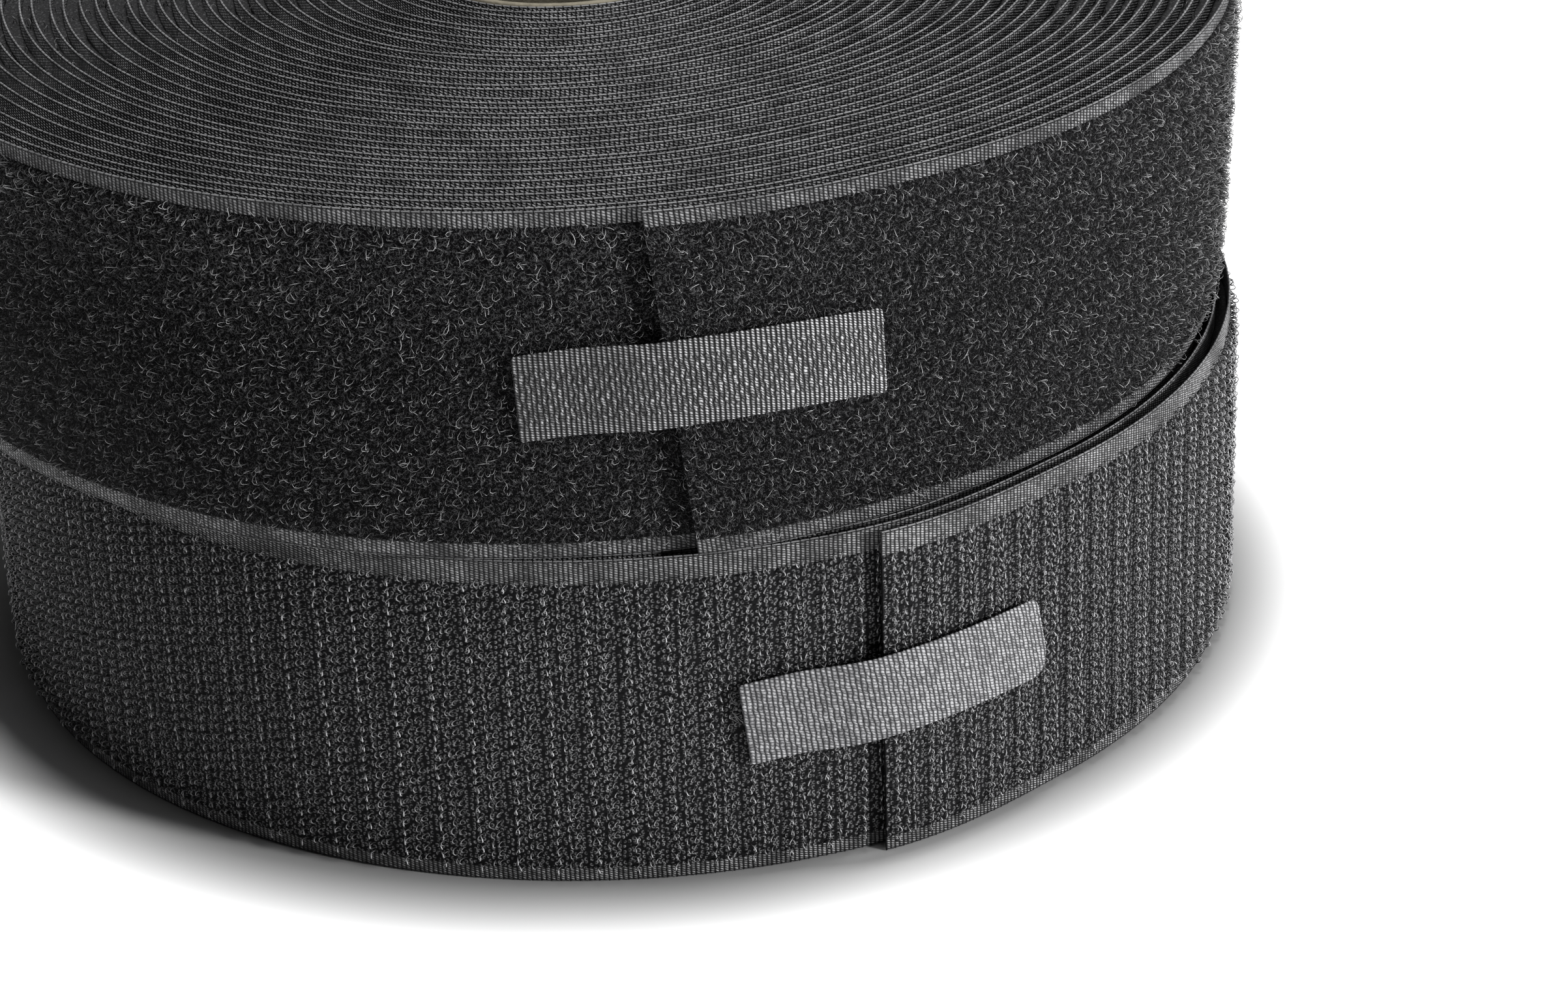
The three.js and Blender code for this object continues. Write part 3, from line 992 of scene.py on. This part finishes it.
# %% Gap filling
FILL_STEP, FILL_CLEAR, FILL_LEAST = 3.0, 0.06, 0.2
FILL_INSET, FILL_ROUGH, FILL_TILT = 0.3, 0.25, 0.1
PRESSED = grainy_material("pressed_pile", (0.7, 0.3), (2500.0, 3.0), (0.5, 0.75),
                          (0.003, 0.003, 0.0035), (0.05, 0.05, 0.052), 0.0003)


def gap_width(roll, travel):
    """Room between a turn and the one around it, at the travel of the inner one."""
    return turn_radius(roll, travel - FULL_TURN) - GROUND - turn_radius(roll, travel)


def gap_fill(roll):
    """The pressed pile or hooks of all the inner turns: a band with an uneven top in every gap."""
    _, travel = stations(roll, roll.tail + FULL_TURN, roll.end, FILL_STEP)
    draw = np.random.default_rng(31)
    foot = np.full_like(travel, roll.field[0] + FILL_INSET)
    top = roll.field[1] - FILL_INSET + draw.normal(0, FILL_ROUGH, travel.shape)
    inner = np.full_like(travel, FILL_CLEAR)
    outer = np.maximum(gap_width(roll, travel) - FILL_CLEAR, FILL_LEAST)
    out = np.concatenate([inner, outer, outer, inner], axis=1)
    up = np.concatenate([foot, foot, top, top - FILL_TILT], axis=1)
    fill = carried_piece(f"{roll.name}_gap_fill", on_roll(roll, travel, out, up), PRESSED)
    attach(fill, f"{roll.name}_roll")


gap_fill(loop_roll)
gap_fill(hook_roll)

# %% Curls that stick out of the gaps
GAP_CURLS, GAP_CURL_POINTS, GAP_CURL_HEIGHT = 2200, 5, (0.5, 1.4)
GAP_CURL_UP, GAP_CURL_ACROSS, GAP_CURL_FLAT = (-0.8, 0.6), (0.15, 0.85), 0.8
OUTER_STRETCH = 0.4


def gap_curls(name, roll, start, stop, seed):
    """Curls that stick out of the pressed pile, at random places in the gaps."""
    draw = np.random.default_rng(seed)
    s = draw.uniform(distance_at(roll, start), distance_at(roll, stop), GAP_CURLS)
    travel = travel_at(roll, s)
    z = roll.field[1] - FILL_INSET + draw.uniform(*GAP_CURL_UP, GAP_CURLS)
    out = gap_width(roll, travel) * draw.uniform(*GAP_CURL_ACROSS, GAP_CURLS)
    root = on_roll(roll, travel, out, z)
    outward, along, up = local_directions(roll, travel)
    height = draw.uniform(*GAP_CURL_HEIGHT, GAP_CURLS)
    directions = (up, along, outward * GAP_CURL_FLAT)
    paths, shade = curls(draw, root, directions, height, GAP_CURL_POINTS)
    piece = finish_fibres(name, paths, PILE_RADIUS, shade, PILE)
    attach(piece, "loop_roll")


split_at = OUTER_STRETCH * loop_roll.end
gap_curls("loop_gap_curls_1", loop_roll, loop_roll.tail + FULL_TURN, split_at, 150)
gap_curls("loop_gap_curls_2", loop_roll, split_at, loop_roll.end, 151)

# %% [markdown]
# ## Hooks
#
# The hook tape carries stiff filaments that are woven in as loops and cut on one side, so each one
# arches over and points back down at the tape. They stand in columns across the tape, in a repeat of
# four kinds that lean and face different ways. Only the tops of the arches catch much light, and the
# part that comes back down lies in the shade. One hook copied by an array would be simpler, but every
# real one differs a little in place, size and turn, and that is what keeps the rows alive.

# %% Kinds of hook
HOOK_COLUMN, HOOK_ROW = 1.31, 1.56
HOOK_SHY = 1.9
TALLEST_HOOK = 1.8
HOOK_BRIGHT, UNDER_DARK, TIP_GLINT = (0.6, 1.1), 0.7, 3.0
PLAY = SimpleNamespace(along=0.07, across=0.08, size=0.08, lean=0.12, tilt=0.1)
KIND_VALUES = ("height", "bend", "half_turns", "points", "radius", "lean", "tilt", "offset", "shade")
KINDS = [SimpleNamespace(**dict(zip(KIND_VALUES, values))) for values in (
    (1.6, 0.48, 1.5, 8, 0.1, -5.0, 34.0, 0.0, 0.8),
    (1.4, 0.42, 1.6, 7, 0.09, 10.0, -34.0, 0.1, 0.8),
    (1.3, 0.45, 1.5, 7, 0.09, -20.0, -12.0, 0.5, 0.85),
    (1.3, 0.42, 1.6, 7, 0.09, 5.0, -36.0, 0.6, 0.85),
)]


def hook_paths(kind, root, directions, lean, tilt, size):
    """Filaments of one kind. Each arches out and over, out = h (1 - cos a) / 2 and rise = b sin a,
    for a from 0 to the kind's half turns, so its end comes back under it. The lean turns its rise
    towards the tape's run, and the tilt does the same with its way out."""
    out, along, up = directions
    outward = np.cos(tilt)[:, None] * out + np.sin(tilt)[:, None] * along
    rising = np.cos(lean)[:, None] * up + np.sin(lean)[:, None] * along
    angle = np.linspace(0, kind.half_turns * HALF_TURN, kind.points)
    profile_out = kind.height * (1 - np.cos(angle)) / 2
    profile_up = kind.bend * np.sin(angle)
    paths = root[:, None] + size[:, None, None] * (
        outward[:, None] * profile_out[None, :, None] + rising[:, None] * profile_up[None, :, None])
    under = smooth_step((angle - HALF_TURN) / (0.5 * HALF_TURN))
    tip = np.clip(profile_out / kind.height, 0.3, 1) ** TIP_GLINT
    return paths, (tip * (1 - UNDER_DARK * under))[None]


# %% Hooks on the outer turn and the tail
def hooks(name, roll, start, stop, seed):
    """The hooks between two travels. They are lower below the strip, and none stand in the shade of
    the cut end, nearer to it than HOOK_SHY."""
    draw = np.random.default_rng(seed)
    first, last = distance_at(roll, start), distance_at(roll, stop)
    column = np.arange(math.ceil(first / HOOK_COLUMN), math.ceil(last / HOOK_COLUMN))
    row = np.arange(int((roll.field[1] - roll.field[0]) / HOOK_ROW) + 1)
    outer_end = distance_at(roll, FULL_TURN)
    pressed = HOOK_STRIP.foot / TALLEST_HOOK
    points, faces, shades, count = [], [], [], 0
    for k, kind in enumerate(KINDS):
        c, r = (g.ravel() for g in np.meshgrid(column[column % len(KINDS) == k], row))
        s = (c + 0.5) * HOOK_COLUMN + draw.normal(0, PLAY.along, c.size)
        z = roll.field[0] + (r + kind.offset) * HOOK_ROW + draw.normal(0, PLAY.across, c.size)
        kept = abs(s + HOOK_SHY / 2 - outer_end) > HOOK_SHY / 2
        s, z, n = s[kept], z[kept], kept.sum()
        travel = travel_at(roll, s)
        root = on_roll(roll, travel, SUNK, z)
        size = draw.normal(1.0, PLAY.size, n)
        size = np.where(below_strip(HOOK_STRIP, travel, z), np.minimum(size, pressed), size)
        lean = np.radians(kind.lean) + draw.normal(0, PLAY.lean, n)
        tilt = np.radians(kind.tilt) + draw.normal(0, PLAY.tilt, n)
        paths, profile = hook_paths(kind, root, local_directions(roll, travel), lean, tilt, size)
        own = kind.shade * draw.uniform(*HOOK_BRIGHT, (n, 1))
        tube_points, tube_faces = tubes(paths, kind.radius)
        points.append(tube_points)
        faces.extend(face + count for face in tube_faces)
        shades.append(np.repeat((own * profile).ravel(), 3))
        count += len(tube_points)
    shade = np.concatenate(shades)
    return make_piece(name, np.concatenate(points), faces, HOOKS, shade=shade)


cover_tape(hooks, hook_roll, "hook_rows", "hook_field", patches=3, seed=200)


# %% [markdown]
# ## The strips themselves
#
# Each strip shows its woven back. The one on the loop roll is hook tape, with ribbed selvedges and
# the bright stitches that anchor its hooks, and the one on the hook roll is plain loop tape. Both are
# one flat body with two gauges of the same weave. A strip is laid on the roll by the same spiral as
# the tape, and not pressed on by a simulation, because its place is known.


# %% Strip finish
def strip_material(name, dark, light, strip, edge_weave, middle_weave, margin, painted_light_gain):
    """A strip's woven back: one weave along its two margins and another between them. The last argument
    is the painted light that its crowns gain from the left end to the right end, nearer the key lamp."""
    material, tree, shader = new_material(name, 0.5, 0.2)
    place = on_tape(tree)
    at_edge = use_group(tree, WEAVE, place, **edge_weave)
    in_middle = use_group(tree, WEAVE, place, **middle_weave)
    u, v, _ = parts_of(tree, place)
    middle = from_edges(v, strip.width).ramp(margin - 0.2, margin + 0.2)
    crown, height = (at_edge[title] + (in_middle[title] - at_edge[title]) * middle
                     for title in ("Crown", "Height"))
    # Painted light: the crowns grow brighter towards the strip's right end, nearer the key lamp.
    level = u.times_plus(painted_light_gain / strip.length, 1.0 - painted_light_gain / 2)
    shown = crown * level * blotches(tree, place, 0.3, 0.88, 1.1)
    dress(tree, shader, mix_colours(tree, shown, dark, light), height, WEAVE_RELIEF)
    return material


HOOK_STRIP_BACK = strip_material(
    "loop_tape_back", (0.02, 0.02, 0.022), (0.36, 0.36, 0.37), HOOK_STRIP,
    dict(Along=0.7, Across=0.48, Shift=0.5, Slant=0.45, Uneven=0.1, Narrow=1.7, Short=0.6),
    dict(Along=0.7, Across=0.48, Shift=0.5, Slant=0.6, Uneven=0.7, Narrow=1.6, Short=0.6),
    margin=1.0, painted_light_gain=0.1)
LOOP_STRIP_BACK = strip_material(
    "hook_tape_back", (0.002, 0.002, 0.0023), (0.46, 0.46, 0.47), LOOP_STRIP,
    dict(Along=0.68, Across=0.38, Shift=0.35, Slant=0.8, Uneven=0.15, Narrow=3.4, Short=1.2),
    dict(Along=0.68, Across=0.42, Shift=0.5, Slant=1.2, Uneven=0.8, Narrow=3.0, Short=1.1,
         Alternate=0.6),
    margin=2.1, painted_light_gain=0.5)


# %% Places on a strip
def strip_places(strip, s, share, out):
    """Places on a strip: s along it from the cut end, share across it from its lower edge, and out
    from its inner face. Its ends are askew, which slides each point along by its share."""
    part = (s - strip.start) / strip.length
    skew = strip.skew[0] + (strip.skew[1] - strip.skew[0]) * part
    slid = s + skew * (0.5 - share)
    up = strip_low(strip, s) + strip.width * share
    return on_roll(strip.roll, slid / strip.roll.radius, strip_foot(strip, slid) + out, up)


def corner_inset(strip, s, corners):
    """How far a round corner draws the edges in: r - sqrt(r^2 - (r - d)^2) at d from an end."""
    inset = np.zeros_like(s)
    for d, r in ((s - strip.start, corners[0]), (strip.start + strip.length - s, corners[1])):
        inside = np.clip(r - d, 0, r)
        inset = np.maximum(inset, r - np.sqrt(r * r - inside * inside))
    return inset


# %% Bend and body of a strip
STRIP_STEP, STRIP_COLUMNS, THIN_EDGE = 0.4, 14, 0.7


def follow_strip(piece):
    """Bakes the strip piece's transform into its mesh."""
    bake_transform(piece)


def strip_body(strip, material):
    """The strip's woven body: a flat section of many columns carried along the strip."""
    s = np.linspace(strip.start, strip.start + strip.length, int(strip.length / STRIP_STEP))[:, None]
    share = np.linspace(0, 1, STRIP_COLUMNS)
    low = corner_inset(strip, s, strip.low_corners) / strip.width
    high = corner_inset(strip, s, strip.high_corners) / strip.width
    shares = low + (1 - low - high) * np.concatenate([share, share[::-1]])[None]
    thick = np.full(STRIP_COLUMNS, strip.thickness)
    thick[[0, -1]] *= THIN_EDGE
    out = np.concatenate([thick, strip.thickness - thick[::-1]])[None]
    points = strip_places(strip, s, shares, out)
    uv = stacked(s - strip.start, shares * strip.width)
    name = strip.roll.name
    piece = carried_piece(f"{name}_strip_back", points, material, uv)
    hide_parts(f"{name}_roll_closure_strip")
    follow_strip(piece)


# %% Hooks and loops inside the strips
STRIP_MARGIN, STRIP_END, STRIP_DENSITY = 1.3, 0.6, 0.8
STRIP_HOOK, STRIP_HOOK_SIZE, STRIP_HOOK_LEAN, STRIP_HOOK_BRIGHT = KINDS[2], 0.7, 0.5, (0.3, 0.7)
STRIP_LOOP_HEIGHT = (0.6, 1.2)


def inside_places(strip, draw):
    """Roots on the strip's inner face, and the directions there, with inward for outward."""
    s, across = jittered(draw, strip.start + STRIP_END, strip.start + strip.length - STRIP_END,
                         STRIP_MARGIN, strip.width - STRIP_MARGIN, STRIP_DENSITY)
    root = strip_places(strip, s, across / strip.width, -SUNK)
    outward, along, up = local_directions(strip.roll, s / strip.roll.radius)
    return root, (-outward, along, up)


def strip_hooks(strip, seed):
    """Hooks that point at the loop tape, and lean left or right."""
    draw = np.random.default_rng(seed)
    root, inward = inside_places(strip, draw)
    n = len(root)
    lean = draw.choice([-STRIP_HOOK_LEAN, STRIP_HOOK_LEAN], n) + draw.normal(0, PLAY.lean, n)
    size = np.full(n, STRIP_HOOK_SIZE)
    paths, profile = hook_paths(STRIP_HOOK, root, inward, lean, np.zeros(n), size)
    shade = profile * draw.uniform(*STRIP_HOOK_BRIGHT, (n, 1))
    piece = finish_fibres("loop_strip_hooks", paths, STRIP_HOOK.radius, shade, HOOKS)
    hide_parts("loop_roll_strip_hooks")
    follow_strip(piece)


def strip_loops(strip, seed):
    """Curls that point at the hook tape."""
    draw = np.random.default_rng(seed)
    root, inward = inside_places(strip, draw)
    height = draw.uniform(*STRIP_LOOP_HEIGHT, len(root))
    paths, shade = curls(draw, root, inward, height, PILE_POINTS)
    piece = finish_fibres("hook_strip_loops", paths, PILE_RADIUS, shade, PILE)
    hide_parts("hook_roll_strip_loops")
    follow_strip(piece)


# %% Both strips
strip_body(LOOP_STRIP, LOOP_STRIP_BACK)
strip_hooks(LOOP_STRIP, 300)
strip_body(HOOK_STRIP, HOOK_STRIP_BACK)
strip_loops(HOOK_STRIP, 301)

# %% [markdown]
# ## Stray loops
#
# Scissors set a few loops free along the lower strip's cut end, and they stick out past it on the
# photograph. They are curls like those of the pile, turned to point along the tape.

# %% Stray loops
STRAYS, STRAY_RADIUS, STRAY_POINTS = 8, 0.04, 10
STRAY_HEIGHT, STRAY_MARGINS, STRAY_INSET = (1.0, 2.6), (4.5, 1.0), 0.2
STRAY_DULL, STRAY_GLINT = 0.12, 0.35


def stray_loops(strip):
    """Loops that stick out along the tape from the strip's left end."""
    draw = np.random.default_rng(310)
    across = draw.uniform(STRAY_MARGINS[0], strip.width - STRAY_MARGINS[1], STRAYS)
    s = np.full(STRAYS, strip.start)
    root = strip_places(strip, s + STRAY_INSET, across / strip.width, -SUNK)
    outward, along, up = local_directions(strip.roll, s / strip.roll.radius)
    height = draw.uniform(*STRAY_HEIGHT, STRAYS)
    paths, shade = curls(draw, root, (-along, outward * 0.5, up * 2.2), height, STRAY_POINTS)
    shade = STRAY_DULL + STRAY_GLINT * shade
    piece = finish_fibres("stray_loops", paths, STRAY_RADIUS, shade, PILE)
    follow_strip(piece)


stray_loops(HOOK_STRIP)

# %% [markdown]
# ## Card cores
#
# The cores are thin tubes of wound grey-brown card. Only the rim of the upper one shows. Each is a
# rounded section turned about the roll's axis, where a cylinder with a bevel and a solidify modifier
# would do as well.

# %% Core finish and shape
CARD = grainy_material("core_card", (0.8, 0.3), (600.0, 5.0), None,
                       (0.07, 0.062, 0.045), (0.2, 0.18, 0.135), 0.0002)
CORE_WALL, CORE_SIDES, CORE_ROUND, CORE_SHORT = 1.0, 128, 0.2, 0.3


def card_core(roll):
    """A tube from a section of (radius, height), with its corners cut off."""
    inner, outer, r = roll.core_radius - CORE_WALL, roll.core_radius, CORE_ROUND
    low, high = CORE_SHORT, roll.width - CORE_SHORT
    radius, up = np.array([
        [inner + r, low], [outer - r, low], [outer, low + r], [outer, high - r],
        [outer - r, high], [inner + r, high], [inner, high - r], [inner, low + r]]).T[:, None]
    angle = (np.arange(CORE_SIDES) * FULL_TURN / CORE_SIDES)[:, None]
    x = roll.axis[0] + radius * np.cos(angle)
    y = roll.axis[1] + radius * np.sin(angle)
    name = f"{roll.name}_card_core"
    tube = carried_piece(name, stacked(x, y, roll.base + up), CARD, closed=True)
    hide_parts(f"{roll.name}_roll_core")
    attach(tube, f"{roll.name}_roll")


card_core(loop_roll)
card_core(hook_roll)
